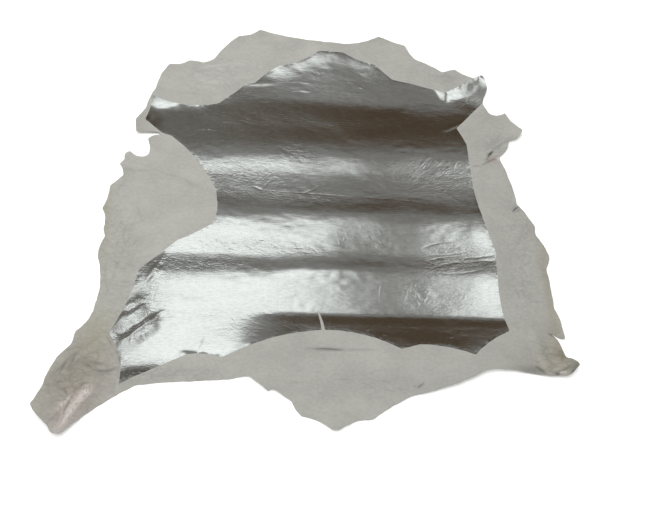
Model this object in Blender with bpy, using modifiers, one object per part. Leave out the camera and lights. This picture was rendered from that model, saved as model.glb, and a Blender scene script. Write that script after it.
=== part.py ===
"""One whole skin of silver-foiled leather, laid flat on its flesh side, at its real size.

The skin is a single sheet with the raw outline of the animal: neck at the far side, four legs,
flanks between them and the tail nearest. It was stored rolled, so low folds still run from
side to side, the neck edge lifts and the ends of the legs curl. Tables are in millimetres
and the finished mesh is in metres, with its origin on the floor under the middle of the skin.
"""
import math
from collections import namedtuple

import bmesh
import bpy
from mathutils import Vector, noise

MM = 0.001
OBJECT_NAME = "leather_hide"
HIDE_NODE = "hide"

THICKNESS = 1.2
EDGE_STEP = 14.0
CELL_WIDTH = 18.0
CELL_DEPTH = 12.5
FOLD_FADE = 95.0
UNEVENNESS = 0.3
UNEVEN_PATCH = 170.0

FOIL_COLOUR = (0.62, 0.62, 0.61, 1.0)
FOIL_ROUGHNESS = 0.25
FOIL_METALLIC = 0.9

# A point of the edge, clockwise seen from above. The stretch from it to the next point
# bows outwards by bow, or inwards where bow is negative.
EdgePoint = namedtuple("EdgePoint", "x y bow")

OUTLINE = {
    "neck": (
        EdgePoint(-192, 316, 2), EdgePoint(-155, 356, -4), EdgePoint(-117, 372, -5),
        EdgePoint(49, 353, -4), EdgePoint(114, 377, -2), EdgePoint(166, 359, -3),
    ),
    "right shoulder": (
        EdgePoint(187, 328, 2), EdgePoint(238, 305, 1), EdgePoint(263, 313, -2),
        EdgePoint(297, 294, 0), EdgePoint(315, 301, 2), EdgePoint(325, 275, 0),
        EdgePoint(315, 246, 0), EdgePoint(328, 224, -5),
    ),
    "right foreleg": (
        EdgePoint(358, 226, -5), EdgePoint(387, 188, 7), EdgePoint(360, 167, 5),
    ),
    "right flank": (
        EdgePoint(339, 131, 4), EdgePoint(366, 38, 2), EdgePoint(397, -8, -1),
        EdgePoint(397, -24, 3), EdgePoint(418, -66, 1), EdgePoint(410, -88, 1),
        EdgePoint(417, -160, 3), EdgePoint(430, -216, 2), EdgePoint(407, -207, 3),
        EdgePoint(421, -234, 0),
    ),
    "right hind leg": (
        EdgePoint(425, -249, 3), EdgePoint(446, -262, 0), EdgePoint(428, -280, 3),
        EdgePoint(340, -273, -2),
    ),
    "right rump": (
        EdgePoint(284, -272, 5), EdgePoint(157, -316, -2), EdgePoint(87, -357, -2),
        EdgePoint(50, -363, 0),
    ),
    "tail": (
        EdgePoint(31, -374, 0), EdgePoint(20, -373, -4), EdgePoint(-29, -353, 1),
        EdgePoint(-46, -330, -1), EdgePoint(-78, -308, 0), EdgePoint(-84, -313, 0),
    ),
    "left rump": (
        EdgePoint(-90, -308, -1), EdgePoint(-119, -288, 2), EdgePoint(-182, -297, -1),
        EdgePoint(-294, -306, -5),
    ),
    "left hind leg": (
        EdgePoint(-400, -382, 6), EdgePoint(-418, -372, 2), EdgePoint(-450, -338, -1),
        EdgePoint(-434, -307, 3), EdgePoint(-420, -262, 0),
    ),
    "left flank": (
        EdgePoint(-400, -240, 0), EdgePoint(-396, -220, -5), EdgePoint(-370, -175, -6),
        EdgePoint(-374, -93, 3), EdgePoint(-366, -57, 0), EdgePoint(-370, -41, -4),
        EdgePoint(-375, -5, -2), EdgePoint(-366, 38, 0),
    ),
    "left foreleg": (
        EdgePoint(-345, 59, -2), EdgePoint(-354, 80, 0), EdgePoint(-346, 90, 5),
        EdgePoint(-337, 106, -7), EdgePoint(-305, 99, -4), EdgePoint(-309, 129, 3),
        EdgePoint(-285, 139, 0), EdgePoint(-292, 145, 0), EdgePoint(-330, 141, 0),
    ),
    "left shoulder": (
        EdgePoint(-332, 168, 0), EdgePoint(-316, 195, 3), EdgePoint(-302, 231, 3),
        EdgePoint(-280, 285, -4), EdgePoint(-247, 297, 2), EdgePoint(-220, 295, -4),
    ),
}

# A fold is a rounded ridge from one end of its crest to the other. Its near and far flanks
# have their own widths, and the crest rises to height above the floor.
Fold = namedtuple("Fold", "x1 y1 x2 y2 height near far")

FOLDS = {
    "neck lip": Fold(-230, 384, 230, 348, 8.5, 150, 75),
    "left neck rim": Fold(-290, 268, -215, 262, 3.6, 60, 40),
    "shoulder wave": Fold(-265, 111, 270, 130, 4.6, 118, 112),
    "shoulder brow": Fold(-265, 111, 270, 130, 1.2, 48, 112),
    "back slope": Fold(-270, -12, 275, -2, 3.7, 104, 92),
    "back wave": Fold(-270, -10, 275, 0, 1.5, 70, 44),
    "loin wave": Fold(-275, -118, 270, -103, 2.8, 74, 38),
    "loin brow": Fold(-20, -100, 60, -98, 1.6, 30, 82),
    "rump wave": Fold(-55, -268, 300, -266, 12.5, 72, 88),
    "rump step": Fold(-40, -201, 330, -201, 2.0, 66, 24),
    "left crumple": Fold(-313, -229, -288, -208, 3.4, 28, 13),
    "left crumple high": Fold(-319, -199, -301, -184, 2.8, 24, 12),
    "foil corner fold": Fold(-308, -294, -280, -290, 3.2, 12, 19),
    "left hock ridge": Fold(-378, -257, -426, -296, 5.5, 15, 17),
    "left shank ridge": Fold(-372, -312, -408, -370, 6.0, 26, 30),
    "left hind valley side": Fold(-338, -276, -366, -282, 4.0, 16, 18),
    "right hind ridge": Fold(379, -228, 388, -272, 4.5, 18, 20),
    "right foreleg pleat": Fold(314, 117, 352, 152, 4.0, 15, 17),
}

# The tip of a limb that curls up off the floor, highest at its own place.
Curl = namedtuple("Curl", "x y reach lift")

CURLS = {
    "right shoulder tip": Curl(330, 322, 94, 14.0),
    "right foreleg tip": Curl(392, 196, 75, 11.0),
    "left foreleg tip": Curl(-335, 150, 60, 7.0),
    "left shoulder tip": Curl(-300, 256, 82, 7.5),
    "right hind tip": Curl(456, -268, 80, 15.0),
    "left hind tip": Curl(-440, -362, 95, 14.0),
    "tail tip": Curl(26, -382, 60, 5.0),
}


def clear_scene():
    """Remove every object, so that the part starts from an empty scene."""
    for item in list(bpy.data.objects):
        bpy.data.objects.remove(item, do_unlink=True)


def edge_points(step):
    """Points of the whole outline, clockwise, each stretch curved by its bow."""
    corners = [point for stretch in OUTLINE.values() for point in stretch]
    points = []
    for start, end in zip(corners, corners[1:] + corners[:1]):
        chord = Vector((end.x - start.x, end.y - start.y))
        outwards = Vector((-chord.y, chord.x)).normalized()
        pieces = max(1, round(chord.length / step))
        for index in range(pieces):
            share = index / pieces
            bulge = 4.0 * share * (1.0 - share) * start.bow
            points.append(Vector((start.x, start.y)) + chord * share + outwards * bulge)
    return points


def rounded(distance, reach):
    """Fall smoothly from 1 at distance 0 to 0 at reach."""
    share = min(abs(distance) / reach, 1.0)
    return math.cos(0.5 * math.pi * share) ** 2


def fold_height(fold, x, y):
    """Height that one fold adds at a place on the floor."""
    along = Vector((fold.x2 - fold.x1, fold.y2 - fold.y1))
    direction = along.normalized()
    offset = Vector((x - fold.x1, y - fold.y1))
    travelled = offset.dot(direction)
    across = direction.x * offset.y - direction.y * offset.x
    flank = fold.far if across > 0.0 else fold.near
    past_end = max(-travelled, travelled - along.length, 0.0)
    fade = min(FOLD_FADE, along.length)
    return fold.height * rounded(across, flank) * rounded(past_end, fade)


def lay_height(x, y):
    """Height of the underside above the floor, 0 where the skin lies on it."""
    uneven = 1.0 + UNEVENNESS * noise.noise(Vector((x, y, 0.0)) / UNEVEN_PATCH)
    folds = sum(fold_height(fold, x, y) for fold in FOLDS.values())
    curls = sum(
        curl.lift * rounded(math.hypot(x - curl.x, y - curl.y), curl.reach)
        for curl in CURLS.values()
    )
    return uneven * folds + curls


def grid_lines(low, high, step):
    """Places of the cuts between two limits, evenly spread about the middle."""
    count = math.ceil((high - low) / step)
    return [low + (high - low) * index / count for index in range(1, count)]


def flat_sheet():
    """The skin's outline as one flat face, cut into cells that are short across the folds."""
    sheet = bmesh.new()
    corners = [sheet.verts.new((point.x, point.y, 0.0)) for point in edge_points(EDGE_STEP)]
    sheet.faces.new(reversed(corners))
    xs = [corner.co.x for corner in corners]
    ys = [corner.co.y for corner in corners]
    cuts = [(Vector((1, 0, 0)), line) for line in grid_lines(min(xs), max(xs), CELL_WIDTH)]
    cuts += [(Vector((0, 1, 0)), line) for line in grid_lines(min(ys), max(ys), CELL_DEPTH)]
    for normal, line in cuts:
        everything = sheet.verts[:] + sheet.edges[:] + sheet.faces[:]
        bmesh.ops.bisect_plane(
            sheet, geom=everything, dist=0.05, plane_co=normal * line, plane_no=normal
        )
    return sheet


def centre_on_floor(sheet):
    """Bring the middle of the outline's box to the origin."""
    xs = [vert.co.x for vert in sheet.verts]
    ys = [vert.co.y for vert in sheet.verts]
    middle = Vector((min(xs) + max(xs), min(ys) + max(ys), 0.0)) / 2.0
    bmesh.ops.translate(sheet, verts=sheet.verts, vec=-middle)


def foil_material():
    """Silver foil on leather."""
    material = bpy.data.materials.new("silver_foiled_leather")
    material.use_nodes = True
    shader = material.node_tree.nodes["Principled BSDF"]
    shader.inputs["Base Color"].default_value = FOIL_COLOUR
    shader.inputs["Roughness"].default_value = FOIL_ROUGHNESS
    shader.inputs["Metallic"].default_value = FOIL_METALLIC
    return material


def build_hide(collection):
    """Lay the flat sheet in its folds and give it the leather's thickness upwards."""
    sheet = flat_sheet()
    for vert in sheet.verts:
        vert.co.z = lay_height(vert.co.x, vert.co.y)
    centre_on_floor(sheet)
    bmesh.ops.scale(sheet, verts=sheet.verts, vec=(MM, MM, MM))
    mesh = bpy.data.meshes.new(HIDE_NODE)
    sheet.to_mesh(mesh)
    sheet.free()
    mesh.shade_smooth()
    mesh.materials.append(foil_material())
    hide = bpy.data.objects.new(HIDE_NODE, mesh)
    collection.objects.link(hide)
    body = hide.modifiers.new("leather thickness", "SOLIDIFY")
    body.thickness = THICKNESS * MM
    body.offset = 1.0
    return hide


def main():
    clear_scene()
    collection = bpy.data.collections.new(OBJECT_NAME)
    bpy.context.scene.collection.children.link(collection)
    build_hide(collection)


main()
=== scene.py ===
"""Looks of one whole skin of silver-foiled leather, laid flat on its flesh side.

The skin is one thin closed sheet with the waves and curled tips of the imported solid. Its grain
side is bare grey leather round a mirror-like foil, and the foil carries the pleats, creases and
crinkles that it took when the skin was rolled. Tables are in millimetres, in the skin's own
frame, and the finished mesh is in metres.
"""
import math
import random
from collections import namedtuple

import bpy
import numpy as np
from mathutils import Matrix, Vector, noise
from mathutils.geometry import delaunay_2d_cdt
from mathutils.kdtree import KDTree


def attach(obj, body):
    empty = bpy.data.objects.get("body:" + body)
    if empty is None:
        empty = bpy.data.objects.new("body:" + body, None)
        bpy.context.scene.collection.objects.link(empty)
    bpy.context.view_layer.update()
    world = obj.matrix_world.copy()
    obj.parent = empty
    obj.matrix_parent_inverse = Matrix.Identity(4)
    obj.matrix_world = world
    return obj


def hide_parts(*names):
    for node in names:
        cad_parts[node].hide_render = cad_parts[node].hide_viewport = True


bl_info = {
    "name": "Foiled Skin",
    "version": (1, 0, 0),
    "blender": (4, 5, 0),
    "location": "View3D > Sidebar > Leather",
    "description": "One whole skin of silver-foiled leather on a pale studio floor",
    "category": "Object",
}

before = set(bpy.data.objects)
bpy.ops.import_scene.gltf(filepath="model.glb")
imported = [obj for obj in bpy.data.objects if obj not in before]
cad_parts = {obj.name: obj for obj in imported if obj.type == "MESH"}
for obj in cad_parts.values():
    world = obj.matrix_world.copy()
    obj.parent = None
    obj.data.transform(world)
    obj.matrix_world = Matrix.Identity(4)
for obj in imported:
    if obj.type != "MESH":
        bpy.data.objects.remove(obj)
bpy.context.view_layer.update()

MM = 0.001
HIDE_NODE = "hide"
HIDE_NAME = "foiled_skin"
FLOOR_NAME = "floor"

RING_STEP = 2.8
FOLD_FADE = 95.0
UNEVENNESS = 0.3
UNEVEN_PATCH = 170.0
SMALL_FADE = 22.0
NARROW_FLANK = 40.0
WOBBLE_PATCH = 17.0
WOBBLE_REACH = 3.0

PLEAT_STEP = 3.0
CREASE_STEP = 1.8
PROFILE_STEP = 2.0
HAIR_WIDTH = 0.65
HAIR_ROWS = (-2.3, -1.0, 0.0, 1.0, 2.3)
CREASE_ROWS = (-1.0, 0.0, 1.0)
LINE_GAP = 0.8
ROW_GAP = 0.42
NARROW_LEAST = 0.02
MERGE_GAP = 0.001
INSIDE_ONLY = 1

EDGE_FLATNESS = 6.0
EDGE_SHARE = 0.15
DEEPEST_SHARE = 0.6
SEAM_DEPTH = 0.25
SEAM_WIDTH = 1.6
SHARP_ANGLE = math.radians(50.0)

# The rings of the triangulated grain side after its edge, and the places of the materials.
FOIL_RING = 1
PLEAT_RINGS = {2, 3}
FOIL, BARE, FLESH, CUT = range(4)

WORN_COLOUR = (0.30, 0.285, 0.265, 1.0)
GLEAM_COLOUR = (0.66, 0.60, 0.57, 1.0)

# How ragged an edge is: how long its bumps are, how far they reach, and the layer of noise.
Raggedness = namedtuple("Raggedness", "size depth layer")

EDGE_RAGGEDNESS = (Raggedness(14.0, 1.0, 31.0), Raggedness(5.0, 0.45, 32.0))
FOIL_RAGGEDNESS = (Raggedness(9.0, 0.5, 33.0),)

# Unevenness of the grain side in oval patches. The bare leather has it bare times as high.
Swell = namedtuple("Swell", "size_x size_y layer height bare")

SLACK = Swell(62.0, 30.0, 22.0, 0.26, 2.4)
RUMPLE = Swell(22.0, 9.0, 23.0, 0.11, 2.8)
FINE_CRINKLE = Swell(10.0, 5.5, 24.0, 0.045, 1.0)

# A point of an edge, clockwise seen from above. The stretch from it to the next point bows
# outwards by bow, or inwards where bow is negative.
EdgePoint = namedtuple("EdgePoint", "x y bow")

OUTLINE = {
    "neck": (
        EdgePoint(-192, 316, 2), EdgePoint(-155, 356, -4), EdgePoint(-117, 372, -5),
        EdgePoint(49, 353, -4), EdgePoint(114, 377, -2), EdgePoint(166, 359, -3),
    ),
    "right shoulder": (
        EdgePoint(187, 328, 2), EdgePoint(238, 305, 1), EdgePoint(263, 313, -2),
        EdgePoint(297, 294, 0), EdgePoint(315, 301, 2), EdgePoint(325, 275, 0),
        EdgePoint(315, 246, 0), EdgePoint(328, 224, -5),
    ),
    "right foreleg": (
        EdgePoint(358, 226, -5), EdgePoint(387, 188, 7), EdgePoint(360, 167, 5),
    ),
    "right flank": (
        EdgePoint(339, 131, 4), EdgePoint(366, 38, 2), EdgePoint(397, -8, -1),
        EdgePoint(397, -24, 3), EdgePoint(418, -66, 1), EdgePoint(410, -88, 1),
        EdgePoint(417, -160, 3), EdgePoint(430, -216, 2), EdgePoint(407, -207, 3),
        EdgePoint(421, -234, 0),
    ),
    "right hind leg": (
        EdgePoint(425, -249, 3), EdgePoint(446, -262, 0), EdgePoint(428, -280, 3),
        EdgePoint(340, -273, -2),
    ),
    "right rump": (
        EdgePoint(284, -272, 5), EdgePoint(157, -316, -2), EdgePoint(87, -357, -2),
        EdgePoint(50, -363, 0),
    ),
    "tail": (
        EdgePoint(31, -374, 0), EdgePoint(20, -373, -4), EdgePoint(-29, -353, 1),
        EdgePoint(-46, -330, -1), EdgePoint(-78, -308, 0), EdgePoint(-84, -313, 0),
    ),
    "left rump": (
        EdgePoint(-90, -308, -1), EdgePoint(-119, -288, 2), EdgePoint(-182, -297, -1),
        EdgePoint(-294, -306, -5),
    ),
    "left hind leg": (
        EdgePoint(-400, -382, 6), EdgePoint(-418, -372, 2), EdgePoint(-450, -338, -1),
        EdgePoint(-434, -307, 3), EdgePoint(-420, -262, 0),
    ),
    "left flank": (
        EdgePoint(-400, -240, 0), EdgePoint(-396, -220, -5), EdgePoint(-370, -175, -6),
        EdgePoint(-374, -93, 3), EdgePoint(-366, -57, 0), EdgePoint(-370, -41, -4),
        EdgePoint(-375, -5, -2), EdgePoint(-366, 38, 0),
    ),
    "left foreleg": (
        EdgePoint(-345, 59, -2), EdgePoint(-354, 80, 0), EdgePoint(-346, 90, 5),
        EdgePoint(-337, 106, -7), EdgePoint(-305, 99, -4), EdgePoint(-309, 129, 3),
        EdgePoint(-285, 139, 0), EdgePoint(-292, 145, 0), EdgePoint(-330, 141, 0),
    ),
    "left shoulder": (
        EdgePoint(-332, 168, 0), EdgePoint(-316, 195, 3), EdgePoint(-302, 231, 3),
        EdgePoint(-280, 285, -4), EdgePoint(-247, 297, 2), EdgePoint(-220, 295, -4),
    ),
}

# Where the foil ends. It runs out over the skin's own edge at the right shoulder tip.
FOIL_EDGE = {
    "neck side": (
        EdgePoint(-309, 220, -3), EdgePoint(-260, 206, -4), EdgePoint(-188, 212, -1),
        EdgePoint(-142, 254, 0), EdgePoint(-123, 259, 3), EdgePoint(-75, 298, -5),
        EdgePoint(-3, 333, 0), EdgePoint(44, 333, -3), EdgePoint(104, 312, 0),
        EdgePoint(139, 283, 2), EdgePoint(240, 261, 0), EdgePoint(299, 293, 0),
        EdgePoint(322, 308, 0), EdgePoint(338, 276, 0),
    ),
    "right side": (
        EdgePoint(321, 247, 0), EdgePoint(313, 244, 0), EdgePoint(260, 187, 0),
        EdgePoint(277, 152, -1), EdgePoint(284, 66, -3), EdgePoint(318, -59, -1),
        EdgePoint(318, -140, -2),
    ),
    "tail side": (
        EdgePoint(330, -204, -4), EdgePoint(264, -248, -4), EdgePoint(170, -232, 0),
        EdgePoint(136, -241, -9), EdgePoint(5, -210, -9), EdgePoint(-162, -259, -4),
        EdgePoint(-218, -255, -1),
    ),
    "left side": (
        EdgePoint(-321, -305, -9), EdgePoint(-344, -223, -5), EdgePoint(-305, -113, 0),
        EdgePoint(-245, -59, -1), EdgePoint(-190, -29, -3), EdgePoint(-180, 8, 0),
        EdgePoint(-184, 38, -8), EdgePoint(-269, 139, 0),
        EdgePoint(-284, 143, 0), EdgePoint(-308, 162, 0), EdgePoint(-316, 168, 0),
        EdgePoint(-309, 195, 0),
    ),
}

# Bare leather inside the foil, where a pleat lay shut while the foil was pressed on.
PLEATS = {
    "neck pleat": (
        EdgePoint(-146, 255, 0), EdgePoint(-110, 256, 0), EdgePoint(-75, 258, 0),
        EdgePoint(-110, 254, 0),
    ),
    "rump pleat": (
        EdgePoint(-4, -178, 0), EdgePoint(-1, -177, 0), EdgePoint(5, -196, 0),
        EdgePoint(9, -213, 0), EdgePoint(3, -213, 0), EdgePoint(0, -194, 0),
    ),
}

# A fold is a rounded ridge from one end of its crest to the other. Its near and far flanks
# have their own widths, and the crest rises to height above the floor.
Fold = namedtuple("Fold", "x1 y1 x2 y2 height near far")

FOLDS = {
    "neck lip": Fold(-230, 384, 230, 348, 8.5, 150, 75),
    "left neck rim": Fold(-290, 268, -215, 262, 3.6, 60, 40),
    "shoulder wave": Fold(-265, 111, 270, 130, 4.6, 118, 112),
    "shoulder brow": Fold(-265, 111, 270, 130, 1.2, 48, 112),
    "back slope": Fold(-270, -12, 275, -2, 3.7, 104, 92),
    "back wave": Fold(-270, -10, 275, 0, 1.5, 70, 44),
    "loin wave": Fold(-275, -118, 270, -103, 2.8, 74, 38),
    "loin brow": Fold(-20, -100, 60, -98, 1.6, 30, 82),
    "rump wave": Fold(-55, -268, 300, -266, 12.5, 72, 88),
    "rump step": Fold(-40, -201, 330, -201, 2.0, 66, 24),
    "left crumple": Fold(-313, -229, -288, -208, 3.4, 28, 13),
    "left crumple high": Fold(-319, -199, -301, -184, 2.8, 24, 12),
    "foil corner fold": Fold(-308, -294, -280, -290, 3.2, 12, 19),
    "left hock ridge": Fold(-378, -257, -426, -296, 5.5, 15, 17),
    "left shank ridge": Fold(-372, -312, -408, -370, 6.0, 26, 30),
    "left hind valley side": Fold(-338, -276, -366, -282, 4.0, 16, 18),
    "right hind ridge": Fold(379, -228, 388, -272, 4.5, 18, 20),
    "right foreleg pleat": Fold(314, 117, 352, 152, 4.0, 15, 17),
}

# Low folds that are too narrow for the fade of the long ones.
SMALL_FOLDS = {
    "neck pleat fold": Fold(-132, 256, -104, 258, 0.4, 4, 14),
    "shoulder ripple": Fold(-200, 188, 150, 196, 0.35, 26, 30),
    "right shoulder dent": Fold(246, 187, 270, 197, 0.6, 7, 7),
    "right shoulder rise": Fold(240, 272, 300, 302, 3.4, 36, 16),
    "left neck glare": Fold(-296, 222, -222, 224, 2.4, 32, 14),
    "left crumple blob": Fold(-318, -177, -298, -167, 1.3, 7, 12),
    "foil corner rise": Fold(-318, -304, -286, -299, 1.5, 10, 12),
    "left crumple long": Fold(-300, -218, -270, -192, 0.9, 6, 5),
    "left crumple low": Fold(-330, -246, -316, -232, 0.9, 6, 6),
    "left crumple rim": Fold(-337, -213, -324, -192, 1.5, 8, 8),
    "left crumple facet": Fold(-308, -143, -281, -123, 0.9, 6, 22),
    "left crumple edge": Fold(-288, -128, -272, -98, 0.7, 7, 7),
    "foil end fold": Fold(-214, -257, -168, -262, 1.1, 8, 9),
}

# A tip that curls up off the floor, or a dent where lift is negative.
Curl = namedtuple("Curl", "x y reach lift")

CURLS = {
    "right shoulder tip": Curl(330, 322, 94, 14.0),
    "right foreleg tip": Curl(392, 196, 75, 11.0),
    "left foreleg tip": Curl(-335, 150, 60, 7.0),
    "left shoulder tip": Curl(-300, 256, 82, 7.5),
    "right hind tip": Curl(456, -268, 80, 15.0),
    "left hind tip": Curl(-440, -362, 95, 14.0),
    "tail tip": Curl(26, -382, 60, 5.0),
}

# Low rises and one hollow in the foil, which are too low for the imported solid.
SMALL_CURLS = {
    "neck far left": Curl(-78, 312, 50, 1.8),
    "neck left": Curl(-34, 334, 50, 2.5),
    "neck middle": Curl(10, 344, 52, 3.0),
    "neck right": Curl(54, 341, 50, 2.0),
    "neck far right": Curl(98, 326, 50, 1.4),
    "back hollow": Curl(82, -58, 80, -1.0),
    "rump end": Curl(-130, -250, 62, 1.2),
}

# Small rises and dents of the grain side alone.
DENTS = {
    "left crumple ring": Curl(-303, -163, 13, -0.9),
    "neck hollow": Curl(56, 294, 60, -0.5),
    "left crumple knob": Curl(-303, -163, 6, 1.0),
    "left shoulder spot": Curl(-308, 173, 10, -0.6),
}

# A crease is a narrow curved ridge, or a trough where height is negative. Shade is painted shade: it
# darkens the bare leather's colour along the crease, and a negative shade lightens it as a painted
# highlight.
Crease = namedtuple("Crease", "x1 y1 x2 y2 bow width height shade")

CREASES = {
    "long crease": Crease(-104, 40, 60, 35, 1, 0.6, -0.10, 0.0),
    "long crease right": Crease(60, 35, 200, 29, 2, 0.6, -0.05, 0.0),
    "long crease left": Crease(-122, 48, -104, 40, 1, 0.8, -0.22, 0.0),
    "long crease branch": Crease(-104, 40, -88, 60, 2, 0.8, -0.18, 0.0),
    "long crease twig": Crease(-36, 37, -4, 53, -2, 0.8, -0.16, 0.0),
    "flank curved crease": Crease(259, 119, 249, 88, -4, 0.6, 0.11, 0.0),
    "flank tick": Crease(236, 49, 254, 36, 0, 0.6, 0.14, 0.0),
    "scale crease 1": Crease(186, -56, 236, -44, 3, 1.0, -0.22, 0.0),
    "scale crease 2": Crease(190, -70, 272, -58, -3, 1.1, -0.26, 0.0),
    "scale crease 3": Crease(186, -83, 250, -70, 3, 1.0, -0.26, 0.0),
    "scale crease 4": Crease(250, -72, 312, -65, -2, 1.1, -0.24, 0.0),
    "scale crease 5": Crease(198, -95, 268, -80, 4, 1.0, -0.24, 0.0),
    "scale crease 6": Crease(268, -80, 316, -77, 2, 1.1, -0.24, 0.0),
    "scale crease 7": Crease(212, -103, 288, -94, -3, 1.0, -0.18, 0.0),
    "loin scar left": Crease(146, -156, 160, -134, 2, 0.6, 0.07, 0.0),
    "loin scar right": Crease(161, -133, 174, -152, 2, 0.6, 0.07, 0.0),
    "loin hair": Crease(104, -153, 110, -122, 3, 0.5, 0.05, 0.0),
    "neck scar": Crease(102, 329, 116, 296, 3, 0.6, 0.08, 0.0),
    "left rump line": Crease(-191, -221, -200, -252, 1, 0.8, 0.2, 0.0),
    "tail crease": Crease(-14, -244, 40, -245, 1, 1.2, -0.7, 0.75),
    "tail crease left": Crease(-26, -244, -14, -244, 0, 1.0, -0.3, 0.25),
    "tail crease right": Crease(40, -245, 98, -244, 1, 1.2, -0.3, 0.22),
    "tail scratch": Crease(108, -315, 151, -293, 2, 1.2, 0.3, -0.06),
    "rump line": Crease(96, -259, 178, -259, 1, 1.4, -0.3, 0.10),
    "rump nick": Crease(162, -305, 174, -296, 0, 1.3, -0.5, 0.5),
    "flank edge nick": Crease(356, 21, 369, 32, 1, 1.6, -0.8, 0.8),
    "flank edge nick side": Crease(361, 20, 372, 27, 1, 1.1, -0.4, 0.3),
    "flank wrinkle": Crease(338, -24, 367, -17, 2, 2.0, 0.5, -0.10),
    "flank wrinkle low": Crease(342, -128, 366, -125, 1, 2.0, 0.5, -0.09),
    "left foreleg crease": Crease(-379, 78, -300, 70, -4, 3.0, -0.8, 0.12),
    "left flank crease": Crease(-302, 74, -190, 30, 3, 4.0, -0.7, 0.09),
    "left flank wrinkle": Crease(-363, 31, -343, 55, 2, 2.2, 0.7, -0.10),
    "left flank wrinkle low": Crease(-293, -44, -269, -25, 2, 2.6, 0.6, -0.04),
    "left hind short crease": Crease(-325, -297, -319, -317, 0, 1.4, 0.5, -0.2),
    "left hock dark 1": Crease(-385, -271, -360, -284, 2, 2.2, -1.2, 0.34),
    "left hock dark 2": Crease(-360, -284, -325, -280, -3, 1.9, -1.0, 0.40),
    "left hock valley": Crease(-414, -259, -381, -245, 3, 2.8, -1.0, 0.26),
    "left hock valley low": Crease(-425, -297, -391, -262, 2, 3.2, -1.1, 0.20),
    "left shank crease": Crease(-413, -309, -397, -322, 1, 1.6, -0.6, 0.32),
    "left shank groove": Crease(-385, -318, -398, -366, -3, 1.4, -0.8, 0.44),
    "left shank groove side": Crease(-399, -326, -408, -352, 2, 1.3, -0.7, 0.38),
    "left shank groove high": Crease(-391, -322, -365, -302, 3, 1.2, -0.6, 0.32),
    "left shank edge": Crease(-357, -322, -393, -372, -4, 2.0, -0.6, 0.16),
    "left hock shade": Crease(-406, -268, -384, -256, 3, 3.0, -0.9, 0.24),
    "left hock fold": Crease(-380, -262, -341, -276, -2, 2.2, -1.0, 0.28),
    "left foot line": Crease(-422, -371, -406, -351, 0, 1.6, -0.8, 0.2),
    "crumple rim crease": Crease(-348, -228, -337, -244, 1, 1.4, -0.7, 0.3),
    "crumple rim crease low": Crease(-337, -244, -320, -277, 4, 1.4, -0.7, 0.25),
    "left hock tick": Crease(-359, -253, -356, -265, 0, 1.1, -0.3, 0.15),
    "left hind line": Crease(-359, -217, -328, -241, 3, 2.0, -0.6, 0.14),
    "border crease": Crease(-305, -289, -227, -293, 2, 1.8, -0.4, 0.08),
    "border crease right": Crease(-259, -285, -163, -282, 3, 2.2, -0.5, 0.06),
    "right hind crease": Crease(371, -264, 388, -279, 1, 1.6, -0.8, 0.6),
    "right hind fold": Crease(395, -270, 431, -258, -3, 1.8, 0.8, -0.12),
    "right hind fold shade": Crease(400, -275, 430, -263, -3, 2.2, -0.6, 0.38),
    "right hind speck": Crease(404, -278, 413, -277, 0, 1.5, -0.6, 0.9),
    "right hind speck far": Crease(430, -276, 438, -271, 0, 1.5, -0.6, 0.85),
    "right hind notch": Crease(400, -206, 414, -212, 0, 1.4, -0.7, 0.6),
    "foreleg slit": Crease(316, 131, 328, 143, 0, 1.9, -1.2, 0.95),
    "foreleg slit long": Crease(309, 118, 326, 141, 0, 1.2, -0.8, 0.6),
    "foreleg slit far": Crease(326, 141, 364, 168, 3, 1.4, -0.6, 0.22),
    "foreleg crease low": Crease(301, 107, 337, 127, 3, 1.6, -0.9, 0.5),
    "foreleg crease edge": Crease(284, 108, 301, 107, 1, 1.3, -0.5, 0.3),
    "neck crease": Crease(25, 387, 25, 358, 0, 1.8, 0.35, 0.0),
    "neck side wrinkle": Crease(-226, 282, -115, 299, 5, 2.2, 0.6, -0.09),
    "neck side wrinkle low": Crease(-260, 233, -205, 230, 2, 2.0, 0.5, -0.09),
    "neck side line": Crease(-240, 258, -150, 254, 2, 1.4, 0.35, -0.08),
    "neck right wrinkle": Crease(205, 290, 268, 296, 5, 2.2, -0.6, 0.10),
    "shoulder streak": Crease(-228, 154, -180, 155, 1, 1.0, 0.3, 0.0),
    "neck streak": Crease(-57, 247, -16, 248, 1, 0.6, 0.07, 0.0),
    "neck streak right": Crease(72, 265, 87, 257, 1, 0.7, 0.12, 0.0),
}

# Hair-like creases strewn over a patch, each about as long as length and near the turn. Their shade
# darkens the bare leather along them as painted shade, and a negative shade lightens it as a painted
# highlight.
Strewn = namedtuple("Strewn", "x y reach_x reach_y count length turn spread width height shade")

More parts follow.
